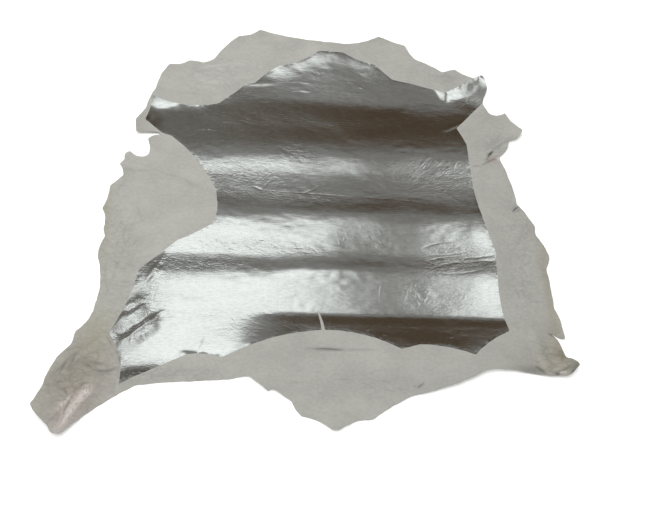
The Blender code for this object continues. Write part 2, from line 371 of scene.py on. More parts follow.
STREWN = {
    "flank hairs": Strewn(190, 100, 66, 22, 60, 20, 36, 13, 0.4, 0.07, 0.0),
    "flank hairs low": Strewn(222, 52, 52, 20, 44, 10, 0, 35, 0.4, 0.06, 0.0),
    "back crinkles": Strewn(-140, 62, 80, 16, 44, 14, 5, 20, 0.4, 0.07, 0.0),
    "spine crinkles": Strewn(-38, 118, 30, 18, 18, 10, -25, 50, 0.4, 0.07, 0.0),
    "right loin crinkles": Strewn(245, -160, 70, 28, 40, 12, 20, 30, 0.4, 0.06, 0.0),
    "right loin flecks": Strewn(165, -143, 26, 20, 16, 10, 60, 40, 0.4, 0.07, 0.0),
    "back flecks": Strewn(70, -40, 50, 20, 14, 9, -35, 40, 0.4, 0.06, 0.0),
    "left crumple": Strewn(-300, -168, 26, 48, 30, 11, 50, 40, 0.9, -0.22, 0.0),
    "left crumple low": Strewn(-308, -222, 24, 20, 18, 11, -10, 50, 1.1, -0.35, 0.0),
    "left crumple dark": Strewn(-235, -100, 60, 10, 30, 13, 5, 30, 0.7, -0.12, 0.0),
    "neck flecks": Strewn(60, 266, 130, 32, 26, 10, 5, 40, 0.5, 0.05, 0.0),
    "left shoulder flecks": Strewn(-180, 168, 90, 30, 26, 14, 3, 18, 0.6, -0.12, 0.0),
    "rump flecks": Strewn(120, -215, 150, 22, 24, 9, 10, 50, 0.5, 0.10, 0.0),
    "right shoulder fan": Strewn(262, 248, 40, 13, 30, 17, 32, 12, 0.4, -0.06, 0.0),
    "band edge crinkles": Strewn(-110, -66, 120, 14, 44, 13, -8, 22, 0.6, -0.10, 0.0),
    "rump end crinkles": Strewn(-95, -205, 70, 24, 30, 13, -5, 25, 0.6, -0.08, 0.0),
    "left shank wrinkles": Strewn(-390, -315, 32, 52, 38, 22, 50, 30, 1.2, -0.5, 0.15),
    "left flank wrinkles": Strewn(-345, -60, 36, 110, 44, 26, 50, 30, 1.5, -0.4, 0.09),
    "right hind wrinkles": Strewn(402, -250, 34, 22, 20, 15, -20, 45, 1.3, -0.4, 0.13),
    "right foreleg wrinkles": Strewn(338, 150, 26, 26, 16, 13, 40, 30, 1.2, -0.35, 0.10),
    "neck side wrinkles": Strewn(-200, 264, 60, 28, 20, 26, 6, 14, 1.6, 0.35, -0.06),
    "right border wrinkles": Strewn(362, -80, 32, 130, 30, 20, 80, 35, 1.5, -0.35, 0.10),
    "rump border wrinkles": Strewn(40, -300, 150, 26, 26, 24, 2, 16, 1.5, -0.3, 0.07),
}

# An oval patch in which something shows, most at its middle, by amount. Turn tilts it.
Patch = namedtuple("Patch", "x y reach_x reach_y turn amount")

# Where the skin is crinkled finely.
CRINKLES = {
    "left shoulder": Patch(-140, 74, 85, 30, 3, 0.34),
    "spine": Patch(-45, 118, 26, 20, 0, 0.45),
    "right flank": Patch(205, 75, 85, 40, 4, 0.4),
    "band edge": Patch(-110, -66, 115, 16, -5, 0.30),
    "scales": Patch(238, -78, 58, 22, 8, 0.9),
    "right loin": Patch(236, -158, 60, 30, -10, 0.12),
    "loin spot": Patch(152, -145, 24, 22, 0, 0.25),
    "left crumple": Patch(-300, -175, 34, 66, -25, 0.6),
    "left loin": Patch(-205, -99, 100, 14, 0, 0.45),
    "back band": Patch(-40, 31, 210, 14, 0, 0.32),
    "rump end": Patch(-95, -205, 90, 34, 0, 0.18),
    "foil corner": Patch(-302, -282, 36, 14, 0, 0.3),
    "neck": Patch(40, 268, 140, 42, 0, 0.12),
    "shoulder": Patch(-60, 190, 160, 26, 0, 0.35),
    "left flank": Patch(-352, -60, 40, 120, 0, 0.6),
    "left hind leg": Patch(-390, -305, 55, 85, -35, 1.0),
    "right foreleg": Patch(340, 148, 38, 42, 0, 0.8),
    "right hind leg": Patch(412, -256, 42, 32, 0, 1.0),
    "right flank edge": Patch(368, -60, 40, 130, 0, 0.75),
    "neck side": Patch(-200, 268, 80, 45, 0, 0.65),
    "neck right side": Patch(235, 300, 60, 30, 0, 0.5),
    "left border": Patch(-235, -288, 90, 16, 0, 0.8),
}

# Where the foil is worn down to the leather.
WEAR = {
    "foil corner": Patch(-300, -289, 34, 10, 6, 1.6),
    "foil corner tip": Patch(-318, -300, 10, 9, 0, 1.6),
    "left crumple blob": Patch(-302, -160, 11, 8, 20, 0.9),
    "left crumple wedge": Patch(-335, -212, 9, 7, 40, 0.7),
    "neck edge": Patch(-290, 171, 16, 6, 10, 0.3),
}

# Where flecks of foil gleam on the bare legs.
GLEAMS = {
    "left shank long": Patch(-389, -350, 32, 5.0, 62, 1.0),
    "left shank high": Patch(-371, -322, 13, 5.0, 50, 0.9),
    "left shank side": Patch(-399, -336, 15, 3.6, 56, 0.8),
    "right hind low": Patch(417, -275, 5, 1.8, 5, 1.0),
    "foreleg": Patch(338, 128, 5, 2.8, 20, 0.9),
}

# A soft patch that makes the bare border's colour darker, lighter or tinted, as a share of the
# leather's own colour. Some are painted light: painted shade darkening a hollow, and painted
# highlights lightening shiny spots and a ridge.
StainAndPaintedLight = namedtuple("StainAndPaintedLight", "x y reach_x reach_y turn red green blue")

STAINS_AND_PAINTED_LIGHT = {
    "left hind leg": StainAndPaintedLight(-388, -300, 58, 92, -35, 0.84, 0.79, 0.74),
    "left hock": StainAndPaintedLight(-365, -225, 22, 40, -20, 0.93, 0.93, 0.84),
    # Painted sheen: the bare leather lightened where the left shank shines.
    "left shank painted sheen": StainAndPaintedLight(-388, -345, 16, 40, -30, 1.12, 1.02, 1.04),
    "left flank rim": StainAndPaintedLight(-372, -20, 14, 95, 0, 0.90, 0.87, 0.78),
    "right hind leg": StainAndPaintedLight(410, -250, 45, 42, 0, 0.90, 0.86, 0.79),
    "right hind tip": StainAndPaintedLight(442, -265, 15, 13, 0, 0.50, 0.50, 0.46),
    # Painted shade: the bare leather darkened in the hollow beside the right hind ridge.
    "right hind hollow painted shade": StainAndPaintedLight(362, -271, 30, 8, -3, 0.64, 0.64, 0.64),
    # Painted highlight: the bare leather lightened along the right hind ridge.
    "right hind ridge": StainAndPaintedLight(384, -262, 5, 13, 28, 1.18, 1.18, 1.17),
    "right hind top": StainAndPaintedLight(420, -244, 10, 12, 30, 0.68, 0.67, 0.61),
    "foreleg fold": StainAndPaintedLight(322, 122, 9, 4, 25, 1.0, 0.82, 0.78),
    # Painted highlight: the bare leather lightened on the shiny foreleg flap.
    "foreleg painted highlight": StainAndPaintedLight(348, 146, 14, 6, 42, 1.06, 1.06, 1.08),
    "right flank rim": StainAndPaintedLight(410, -120, 12, 125, 3, 0.86, 0.82, 0.75),
    "neck middle": StainAndPaintedLight(100, 372, 80, 14, 0, 0.92, 0.92, 0.91),
    "neck side": StainAndPaintedLight(-190, 270, 60, 30, 0, 1.03, 1.03, 1.04),
    "left shoulder flap": StainAndPaintedLight(-325, 160, 20, 24, 0, 0.88, 0.88, 0.87),
}

CAMERA_PLACE = Vector((-0.125, -0.4865, 1.196))
CAMERA_AIM = Vector((0.0223, -0.0686, 0.0))
CAMERA_ROLL = math.radians(0.24)
CAMERA_LENS = 39.64
CAMERA_SENSOR = 36.0
CAMERA_CLIP = 0.01

FLOOR_DROP = 0.0001
FLOOR_ROUGHNESS = 0.75
SOFTBOX_PLACE = Vector((-0.45, 0.3, 2.1))
SOFTBOX_SIDE = 2.2

BRIGHT_COLOUR = (0.97, 1.0, 0.985, 1.0)
PLATEAU_COLOUR = (0.205, 0.204, 0.199, 1.0)
DARK_LEFT_COLOUR = (0.138, 0.129, 0.115, 1.0)
DARK_RIGHT_COLOUR = (0.064, 0.044, 0.027, 1.0)
HORIZON_COLOUR = (0.66, 0.67, 0.66, 1.0)

# How bright the lit ceiling and the window are, by how far away and how far to the right the
# reflection looks, as tangents from straight up. Places to the right are counted from
# RIGHT_START.
CEILING_AWAY = (
    (0.0, 0.5), (0.42, 0.5), (0.47, 1.0), (0.515, 1.0), (0.56, 0.5), (0.62, 0.1), (0.70, 0.0),
)
WINDOW_AWAY = (
    (0.0, 0.6), (0.13, 0.97), (0.22, 1.0), (0.28, 1.0), (0.32, 0.62), (0.38, 0.10), (0.42, 0.0),
)
WINDOW_RIGHT = (
    (0.0, 0.3), (0.2, 0.65), (0.36, 1.0), (0.58, 1.0), (0.61, 0.72), (0.64, 0.34), (0.68, 0.05),
    (0.71, 0.0), (0.772, 0.0), (0.80, 0.5), (0.83, 1.0),
)
RIGHT_START = -0.5
LEAST_UP = 0.05


def corners_of(table):
    """The points of all stretches of an edge table in order."""
    return [point for stretch in table.values() for point in stretch]


def edge_points(corners, step):
    """Points of a closed edge, clockwise, each stretch curved by its bow."""
    points = []
    for start, end in zip(corners, corners[1:] + corners[:1]):
        chord = Vector((end.x - start.x, end.y - start.y))
        outwards = Vector((-chord.y, chord.x)).normalized()
        pieces = max(1, round(chord.length / step))
        for index in range(pieces):
            share = index / pieces
            bulge = 4.0 * share * (1.0 - share) * start.bow
            point = Vector((start.x, start.y)) + chord * share + outwards * bulge
            points.append((point.x, point.y))
    return np.array(points)


def softened(ring):
    """A closed ring with its corners rounded a little."""
    return 0.5 * ring + 0.25 * (np.roll(ring, 1, axis=0) + np.roll(ring, -1, axis=0))


def ragged(ring, raggedness):
    """A closed ring whose points move in and out by up to the depth of the raggedness."""
    along = np.roll(ring, -1, axis=0) - np.roll(ring, 1, axis=0)
    outwards = np.stack([-along[:, 1], along[:, 0]], axis=1)
    outwards /= np.linalg.norm(outwards, axis=1)[:, None]
    size, depth, layer = raggedness
    return ring + outwards * (depth * noise_at(ring, size, size, layer))[:, None]


def raw_edge(table, all_raggedness):
    """The whole closed edge of a table, rounded a little and then ragged."""
    ring = softened(edge_points(corners_of(table), RING_STEP))
    for raggedness in all_raggedness:
        ring = ragged(ring, raggedness)
    return ring


def noise_at(points, size_x, size_y, layer):
    """Smooth noise from about -1 to 1 at each point, with patches of the given size."""
    places = zip((points[:, 0] / size_x).tolist(), (points[:, 1] / size_y).tolist())
    return np.array([noise.noise(Vector((x, y, layer))) for x, y in places])


def rounded(distance, reach):
    """Fall smoothly from 1 at distance 0 to 0 at reach."""
    share = np.minimum(np.abs(distance) / reach, 1.0)
    return np.cos(0.5 * np.pi * share) ** 2


def fold_height(fold, points, fade=FOLD_FADE):
    """Height that one fold adds at each point. It fades out over fade past its ends."""
    along = np.array([fold.x2 - fold.x1, fold.y2 - fold.y1], float)
    length = np.linalg.norm(along)
    direction = along / length
    offset = points - np.array([fold.x1, fold.y1])
    travelled = offset @ direction
    across = direction[0] * offset[:, 1] - direction[1] * offset[:, 0]
    flank = np.where(across > 0.0, fold.far, fold.near)
    past_end = np.maximum(np.maximum(-travelled, travelled - length), 0.0)
    fade = min(fade, length)
    return fold.height * rounded(across, flank) * rounded(past_end, fade)


def curl_height(curl, points):
    """Height that one curled tip or dent adds at each point."""
    return curl.lift * rounded(np.hypot(points[:, 0] - curl.x, points[:, 1] - curl.y), curl.reach)


def crooked(points):
    """The points moved about a little, so that a straight fold through them runs crooked."""
    wobble = [noise_at(points, WOBBLE_PATCH, WOBBLE_PATCH, layer) for layer in (41.0, 42.0)]
    return points + WOBBLE_REACH * np.stack(wobble, axis=1)


def narrow_height(points):
    """Height that the narrow folds add at each point."""
    moved = crooked(points)
    varied = 1.0 + 0.4 * noise_at(points, WOBBLE_PATCH, WOBBLE_PATCH, 43.0)
    small = sum(fold_height(fold, moved, SMALL_FADE) for fold in SMALL_FOLDS.values())
    main = sum(fold_height(fold, moved) for fold in FOLDS.values() if fold.near < NARROW_FLANK)
    return small * varied + main + sum(curl_height(curl, points) for curl in SMALL_CURLS.values())


def lay_height(points):
    """Height of the underside above the floor, 0 where the skin lies on it."""
    uneven = 1.0 + UNEVENNESS * noise_at(points, UNEVEN_PATCH, UNEVEN_PATCH, 0.0)
    wide = sum(fold_height(fold, points) for fold in FOLDS.values() if fold.near >= NARROW_FLANK)
    curls = sum(curl_height(curl, points) for curl in CURLS.values())
    return uneven * wide + narrow_height(points) + curls


def spread(patch, points):
    """How strongly a tilted oval patch acts at each point, from 0 to 1."""
    turn = math.radians(patch.turn)
    offset = points - np.array([patch.x, patch.y])
    across = (offset[:, 0] * math.cos(turn) + offset[:, 1] * math.sin(turn)) / patch.reach_x
    along = (offset[:, 1] * math.cos(turn) - offset[:, 0] * math.sin(turn)) / patch.reach_y
    return np.exp(-(across**2 + along**2))


def amounts(patches, points):
    """The amounts of all patches at each point together, at most 1."""
    return np.clip(sum(patch.amount * spread(patch, points) for patch in patches.values()), 0, 1)


def strewn_creases(patch, draw):
    """The creases of one strewn patch, at random places and turns."""
    creases = []
    for _ in range(patch.count):
        away, round_about = math.sqrt(draw.random()), draw.uniform(0.0, 2.0 * math.pi)
        x = patch.x + patch.reach_x * away * math.cos(round_about)
        y = patch.y + patch.reach_y * away * math.sin(round_about)
        turn = math.radians(patch.turn + draw.gauss(0.0, patch.spread))
        half = 0.5 * patch.length * draw.uniform(0.5, 1.5)
        run = Vector((math.cos(turn), math.sin(turn))) * half
        height = patch.height * draw.uniform(0.4, 1.3)
        bow = half * draw.uniform(-0.3, 0.3)
        shade = patch.shade * draw.uniform(0.3, 1.5)
        creases.append(
            Crease(x - run.x, y - run.y, x + run.x, y + run.y, bow, patch.width, height, shade)
        )
    return creases


def crease_line(crease, step):
    """Points along a crease and, at each, its sideways direction and its share of the way."""
    chord = np.array([crease.x2 - crease.x1, crease.y2 - crease.y1], float)
    length = np.linalg.norm(chord)
    sideways = np.array([-chord[1], chord[0]]) / length
    share = np.linspace(0.0, 1.0, max(3, round(length / step) + 1))
    bulge = 4.0 * share * (1.0 - share) * crease.bow
    line = np.array([crease.x1, crease.y1]) + np.outer(share, chord) + np.outer(bulge, sideways)
    return line, sideways, share


def crease_profile(crease, points):
    """How strongly a crease acts at each point, from 0 to 1."""
    line, _, share = crease_line(crease, PROFILE_STEP)
    reach = 3.0 * crease.width
    near = np.all(
        (points > line.min(0) - reach) & (points < line.max(0) + reach), axis=1
    ).nonzero()[0]
    strength = np.zeros(len(points))
    if not len(near):
        return strength
    best = np.full(len(near), np.inf)
    place = np.zeros(len(near))
    for index in range(len(line) - 1):
        start, run = line[index], line[index + 1] - line[index]
        offset = points[near] - start
        along = np.clip(offset @ run / (run @ run), 0.0, 1.0)
        distance = np.linalg.norm(offset - along[:, None] * run, axis=1)
        closer = distance < best
        best[closer] = distance[closer]
        step = share[index + 1] - share[index]
        place[closer] = share[index] + along[closer] * step
    taper = np.sqrt(np.sin(np.pi * np.clip(place, 0.02, 0.98)))
    strength[near] = taper * np.exp(-((best / crease.width) ** 2))
    return strength


def lattice(low, high, cell):
    """Points of a triangular lattice over a box."""
    rise = cell * math.sqrt(0.75)
    rows = []
    for row in range(int((high[1] - low[1]) / rise) + 1):
        xs = np.arange(low[0] + 0.5 * cell * (row % 2), high[0], cell)
        rows.append(np.stack([xs, np.full(len(xs), low[1] + row * rise)], axis=1))
    return np.concatenate(rows)


def inside(points, ring):
    """True for each point that lies inside a closed ring."""
    x, y = points[:, 0], points[:, 1]
    result = np.zeros(len(points), bool)
    for (x1, y1), (x2, y2) in zip(ring.tolist(), np.roll(ring, -1, axis=0).tolist()):
        spans = ((y1 > y) != (y2 > y)).nonzero()[0]
        if len(spans):
            crossing = x1 + (x2 - x1) * (y[spans] - y1) / (y2 - y1)
            result[spans] ^= x[spans] < crossing
    return result


def distances(points, targets):
    """Distance from each point to the nearest target."""
    tree = KDTree(len(targets))
    for index, (x, y) in enumerate(targets.tolist()):
        tree.insert((x, y, 0.0), index)
    tree.balance()
    return np.array([tree.find((x, y, 0.0))[2] for x, y in points.tolist()])


def counterclockwise(ring):
    """True for a closed ring that runs counterclockwise seen from above."""
    after = np.roll(ring, -1, axis=0)
    return (ring[:, 0] * after[:, 1] - ring[:, 1] * after[:, 0]).sum() > 0.0


def triangulated(rings, free):
    """Triangles of a flat sheet. The first ring is its edge, and the others are lines on it.

    Returns the points, the triangles, and for each triangle the set of rings that it is in.
    """
    places = np.concatenate([*rings, free])
    faces, start = [], 0
    for ring in rings:
        corners = list(range(start, start + len(ring)))
        faces.append(corners if counterclockwise(ring) else corners[::-1])
        start += len(ring)
    corners = [Vector(place) for place in places.tolist()]
    made = delaunay_2d_cdt(corners, [], faces, INSIDE_ONLY, MERGE_GAP)
    points = np.array([tuple(point) for point in made[0]])
    kept = [(face, set(owners)) for face, owners in zip(made[2], made[5]) if 0 in owners]
    return points, [face for face, _ in kept], [owners for _, owners in kept]


def edge_ring(triangles):
    """The corners along the edge of a sheet of triangles, in order, counterclockwise."""
    follows = {}
    for a, b, c in triangles:
        follows.update({(a, b): b, (b, c): c, (c, a): a})
    after = {a: b for a, b in follows if (b, a) not in follows}
    ring = [next(iter(after))]
    while after[ring[-1]] != ring[0]:
        ring.append(after[ring[-1]])
    if len(ring) != len(after):
        raise RuntimeError("the sheet's edge isn't one closed ring")
    return ring


class HideSettings(bpy.types.PropertyGroup):
    """Sizes and colours of the skin."""

    thickness: bpy.props.FloatProperty(
        name="Thickness", description="Thickness of the leather",
        default=0.0012, min=0.0005, unit="LENGTH",
    )
    foil_cell: bpy.props.FloatProperty(
        name="Foil cell", description="Distance between the sheet's points under the foil",
        default=0.00270, min=0.001, unit="LENGTH",
    )
    bare_cell: bpy.props.FloatProperty(
        name="Bare cell", description="Distance between the sheet's points in the bare border",
        default=0.0037, min=0.001, unit="LENGTH",
    )
    flesh_cell: bpy.props.FloatProperty(
        name="Flesh cell", description="Distance between the sheet's points on the flesh side",
        default=0.0085, min=0.002, unit="LENGTH",
    )
    foil_colour: bpy.props.FloatVectorProperty(
        name="Foil colour", description="Colour of the silver foil",
        default=(0.90, 0.92, 0.91, 1.0), size=4, min=0.0, max=1.0, subtype="COLOR",
    )
    bare_colour: bpy.props.FloatVectorProperty(
        name="Bare colour", description="Colour of the bare grain side",
        default=(0.312, 0.309, 0.286, 1.0), size=4, min=0.0, max=1.0, subtype="COLOR",
    )
    flesh_colour: bpy.props.FloatVectorProperty(
        name="Flesh colour", description="Colour of the flesh side",
        default=(0.46, 0.43, 0.38, 1.0), size=4, min=0.0, max=1.0, subtype="COLOR",
    )
    seed: bpy.props.IntProperty(
        name="Seed", description="Chooses where the strewn creases lie", default=7,
    )


class StageSettings(bpy.types.PropertyGroup):
    """Sizes and colours of the floor, the light and the camera."""

    floor_size: bpy.props.FloatProperty(
        name="Floor size", description="Side of the floor", default=12.0, unit="LENGTH",
    )
    floor_colour: bpy.props.FloatVectorProperty(
        name="Floor colour", description="Colour of the floor",
        default=(0.96, 0.96, 0.955, 1.0), size=4, min=0.0, max=1.0, subtype="COLOR",
    )
    softbox_power: bpy.props.FloatProperty(
        name="Softbox power", description="Power of the soft light above the floor, in watts",
        default=65.0, min=0.0,
    )
    window_level: bpy.props.FloatProperty(
        name="Window level", description="Brightness of the window side of the room",
        default=1.08, min=0.0,
    )


class Wire:
    """One output in a node tree. Arithmetic on it adds the Math nodes that work it out."""

    def __init__(self, tree, socket=None):
        self.tree = tree
        self.socket = socket

    def node(self, kind, settings=None, inputs=None, output=0):
        """Add a node, set it up, feed its sockets and return one of its outputs."""
        made = self.tree.nodes.new(kind)
        for name, value in (settings or {}).items():
            if name == "stops":
                while len(made.color_ramp.elements) < len(value):
                    made.color_ramp.elements.new(1.0)
                for element, (position, colour) in zip(made.color_ramp.elements, value):
                    element.position = position
                    element.color = colour
            else:
                setattr(made, name, value)
        for name, value in (inputs or {}).items():
            if isinstance(value, Wire):
                self.tree.links.new(value.socket, made.inputs[name])
            else:
                made.inputs[name].default_value = value
        return Wire(self.tree, made.outputs[output])

    def maths(self, operation, first, second):
        """Add a Math node."""
        return self.node("ShaderNodeMath", {"operation": operation}, {0: first, 1: second})

    def __add__(self, other):
        return self.maths("ADD", self, other)

    __radd__ = __add__

    def __sub__(self, other):
        return self.maths("SUBTRACT", self, other)

    def __rsub__(self, other):
        return self.maths("SUBTRACT", other, self)

    def __mul__(self, other):
        return self.maths("MULTIPLY", self, other)

    __rmul__ = __mul__

    def __truediv__(self, other):
        return self.maths("DIVIDE", self, other)

    def at_least(self, other):
        """The larger of this value and another."""
        return self.maths("MAXIMUM", self, other)

    def at_most(self, other):
        """The smaller of this value and another."""
        return self.maths("MINIMUM", self, other)

    def stretched(self, low, high, start=0.0, end=1.0):
        """This value, eased from start at low to end at high."""
        inputs = {"Value": self, "From Min": low, "From Max": high, "To Min": start, "To Max": end}
        return self.node("ShaderNodeMapRange", {"interpolation_type": "SMOOTHSTEP"}, inputs)

    def blended(self, first, second):
        """Two colours blended by this value."""
        inputs = {0: self, 6: first, 7: second}
        return self.node("ShaderNodeMix", {"data_type": "RGBA"}, inputs, output=2)

    def tinted(self, other):
        """This colour times another."""
        settings = {"data_type": "RGBA", "blend_type": "MULTIPLY"}
        return self.node("ShaderNodeMix", settings, {0: 1.0, 6: self, 7: other}, output=2)

    def graded(self, stops):
        """The value between the stops, each a place from 0 to 1 and the value there."""
        greys = [(place, (value, value, value, 1.0)) for place, value in stops]
        return self.node("ShaderNodeValToRGB", {"stops": greys}, {"Fac": self})

    def placed(self, size_x, size_y, layer):
        """These coordinates, scaled so that a patch of the given size in metres is 1 wide."""
        inputs = {
            "Vector": self,
            "Location": (0.0, 0.0, layer),
            "Scale": (1.0 / size_x, 1.0 / size_y, 1.0 / size_x),
        }
        return self.node("ShaderNodeMapping", inputs=inputs)

    def patches(self, size_x, size_y, detail=3.0, roughness=0.5, layer=0.0):
        """Noise from 0 to 1 on these coordinates, with patches of the given size in metres."""
        placed = self.placed(size_x, size_y, layer)
        inputs = {"Vector": placed, "Scale": 1.0, "Detail": detail, "Roughness": roughness}
        return self.node("ShaderNodeTexNoise", inputs=inputs)

    def bent(self, size, reach):
        """These coordinates, shifted unevenly by up to about reach."""
        noise_inputs = {"Vector": self, "Scale": 1.0 / size, "Detail": 2.0}
        shift = self.node("ShaderNodeTexNoise", inputs=noise_inputs, output="Color")
        inputs = {0: shift, 1: (2.0 * reach,) * 3, 2: (-reach,) * 3}
        centred = self.node("ShaderNodeVectorMath", {"operation": "MULTIPLY_ADD"}, inputs)
        return self.node("ShaderNodeVectorMath", {"operation": "ADD"}, {0: self, 1: centred})

    def cells(self, size_x, size_y, layer=0.0):
        """Distance to the borders of uneven cells of the given size in metres."""
        inputs = {"Vector": self.placed(size_x, size_y, layer), "Scale": 1.0}
        return self.node("ShaderNodeTexVoronoi", {"feature": "DISTANCE_TO_EDGE"}, inputs)

    def attribute(self, name, output="Fac"):
        """What the mesh stores under a name at this place."""
        return self.node("ShaderNodeAttribute", {"attribute_name": name}, output=output)


def scaled(colour, factor, most=1.0):
    """A colour with its red, green and blue multiplied by factor, each up to most."""
    return tuple(min(most, factor * value) for value in colour[:3]) + (1.0,)


def surface(name, **uniform):
    """A new material: its shader node with these uniform values, and its coordinates."""
    material = bpy.data.materials.new(name)
    material.use_nodes = True
    tree = material.node_tree
    shader = tree.nodes["Principled BSDF"]
    for socket, value in uniform.items():
        shader.inputs[socket.replace("_", " ").title()].default_value = value
    places = Wire(tree).node("ShaderNodeTexCoord", output="Object")
    return material, shader, places


def feed(shader, **wires):
    """Link worked out values to the shader's sockets."""
    for socket, wire in wires.items():
        wire.tree.links.new(wire.socket, shader.inputs[socket.replace("_", " ").title()])


def relief(height, distance):
    """A normal from a height map whose white stands distance metres above its black."""
    inputs = {"Height": height, "Distance": distance, "Strength": 1.0}
    return height.node("ShaderNodeBump", inputs=inputs)


def foil_material(settings):
    """Silver foil with fine streaks, a faint mottle, crinkles, a worn corner and grain."""
    colour = tuple(settings.foil_colour)
    material, shader, places = surface("silver_foil", metallic=1.0)
    streaks = places.patches(0.0016, 0.030, layer=3.0)
    blotches = places.patches(0.050, 0.030, layer=11.0)
    wrinkles = places.patches(0.011, 0.0028, detail=4.0, roughness=0.6, layer=5.0)
    pebbles = places.cells(0.0011, 0.0010)
    crinkle = places.attribute("crinkle")
    bent = places.bent(0.014, 0.006)
    scales = bent.cells(0.013, 0.0055, layer=1.0).stretched(0.0, 0.17)
    fine = bent.cells(0.0062, 0.0031, layer=2.0).stretched(0.0, 0.20)
    hairs = bent.cells(0.021, 0.0085, layer=4.0).stretched(0.0, 0.07, 1.0, 0.0)
    crumpled = (blotches.stretched(0.42, 0.68) * 0.5 + crinkle).at_most(1.0)
    tint = streaks.stretched(0.25, 0.70).blended(scaled(colour, 0.96), colour)
    mottle = places.patches(0.0085, 0.0024, detail=4.0, roughness=0.65, layer=13.0)
    tint = mottle.stretched(0.34, 0.62, 0.15, 0.0).blended(tint, WORN_COLOUR)
    flecks = places.patches(0.0050, 0.0022, detail=4.0, roughness=0.7, layer=15.0)
    worn = places.attribute("worn") * flecks.stretched(0.30, 0.58, 0.35, 1.0)
    tint = worn.blended(tint, WORN_COLOUR)
    roughness = 0.115 + 0.06 * blotches + 0.02 * streaks + 0.09 * crinkle + 0.25 * worn
    crinkled = 0.9 * scales + 0.35 * fine + 0.6 * hairs
    height = wrinkles * (0.42 + 0.6 * crumpled) + crinkled * crinkle
    height = height + 0.018 * streaks + 0.05 * pebbles
    feed(shader, base_color=tint, roughness=roughness, normal=relief(height, 0.00016))
    return material


def bare_material(settings):
    """Bare satin grain with pores, faint wrinkles and soft uneven tones, painted shade along the
    crinkle folds, and the stains with painted shade and highlights stored on the mesh.
    """
    colour = tuple(settings.bare_colour)
    material, shader, places = surface("bare_grain")
    cloud = places.patches(0.060, 0.045, detail=4.0, roughness=0.55, layer=2.0)
    fine = places.patches(0.006, 0.004, detail=4.0, roughness=0.65, layer=4.0)
    pores = places.cells(0.0013, 0.0011)
    wrinkles = places.patches(0.014, 0.005, detail=4.0, roughness=0.6, layer=6.0)
    crinkle = places.attribute("crinkle")
    folds = places.bent(0.022, 0.008).cells(0.019, 0.0095, layer=3.0).stretched(0.0, 0.20)
    flecks = places.patches(0.0036, 0.0060, roughness=0.6, layer=7.0)
    shine = places.attribute("gleam") * flecks.stretched(0.36, 0.56, 0.25, 1.0)
    mixed = (0.5 * cloud + 0.5 * fine).stretched(0.30, 0.70)
    base = mixed.blended(scaled(colour, 0.87), scaled(colour, 1.09))
    # Painted shade: the colour is darkened along the crinkle folds where the leather dips.
    lines = (1.0 - folds) * crinkle * 0.26
    base = lines.blended(base, scaled(colour, 0.5))
    # Stains, painted shade and painted highlights stored at the mesh's points.
    with_stains_and_painted_light = base.tinted(places.attribute("tone", "Color"))
    coloured = shine.blended(with_stains_and_painted_light, GLEAM_COLOUR)
    roughness = 0.40 + 0.14 * cloud - 0.16 * shine
    height = wrinkles * (0.5 + 0.5 * crinkle) + 0.45 * folds * crinkle
    height = height + 0.12 * fine + 0.06 * pores.stretched(0.0, 0.12)
    feed(
        shader, base_color=coloured, metallic=0.55 * shine, roughness=roughness,
        normal=relief(height, 0.00100),
    )
    return material


def flesh_material(settings):
    """Matte flesh side with a short nap."""
    colour = tuple(settings.flesh_colour)
    material, shader, places = surface("flesh_side", metallic=0.0, roughness=0.92)
    cloud = places.patches(0.080, 0.060, detail=4.0, roughness=0.6, layer=1.0)
    nap = places.patches(0.0012, 0.0016, roughness=0.7, layer=9.0)
    mixed = (0.6 * cloud + 0.4 * nap).stretched(0.30, 0.70)
    tint = mixed.blended(scaled(colour, 0.80), scaled(colour, 1.12))
    feed(shader, base_color=tint, normal=relief(nap, 0.00040))
    return material


def cut_material(settings):
    """The raw cut through the leather, with loose fibres."""
    colour = tuple(settings.flesh_colour)
    material, shader, places = surface("cut_edge", metallic=0.0, roughness=0.85)
    fibres = places.patches(0.0009, 0.0009, roughness=0.7, layer=8.0)
    tint = fibres.stretched(0.35, 0.65).blended(scaled(colour, 0.72), scaled(colour, 1.05))
    feed(shader, base_color=tint, normal=relief(fibres, 0.00025))
    return material


def stain_and_light_factors(points, creases):
    """Colour factor of the bare leather at each point, as a share of its own colour: its stains, and
    painted shade and painted highlights from the patch table and the creases.
    """
    tone = np.ones((len(points), 4))
    for stain_and_light in STAINS_AND_PAINTED_LIGHT.values():
        change = np.array([stain_and_light.red, stain_and_light.green, stain_and_light.blue]) - 1.0
        tone[:, :3] *= 1.0 + spread(stain_and_light, points)[:, None] * change
    # Painted shade along the creases, and a painted highlight where a crease's shade is negative.
    for crease in creases:
        if crease.shade:
            tone[:, :3] *= 1.0 - crease.shade * crease_profile(crease, points)[:, None]
    return tone


def swell_height(swell, points, in_foil):
    """Height that one kind of unevenness adds at each point."""
    height = swell.height * np.where(in_foil, 1.0, swell.bare)
    return height * noise_at(points, swell.size_x, swell.size_y, swell.layer)


def wildness(points):
    """How strongly the skin is rumpled at each point, from 0.35 to 1.65 in broad patches."""
    return 0.35 + 1.3 * np.clip(noise_at(points, 70.0, 45.0, 21.0) + 0.35, 0.0, 1.0)


def relief_height(points, creases, seam, in_foil):
    """Height of the grain side's dents, creases and crinkles at each point."""
    height = sum(curl_height(dent, points) for dent in DENTS.values())
    for crease in creases:
        height += crease.height * crease_profile(crease, points)
    height += swell_height(SLACK, points, in_foil)
    wild = wildness(points)
    for swell in (RUMPLE, FINE_CRINKLE):
        height += wild * swell_height(swell, points, in_foil)
    return height - SEAM_DEPTH * np.exp(-((seam / SEAM_WIDTH) ** 2)) * in_foil


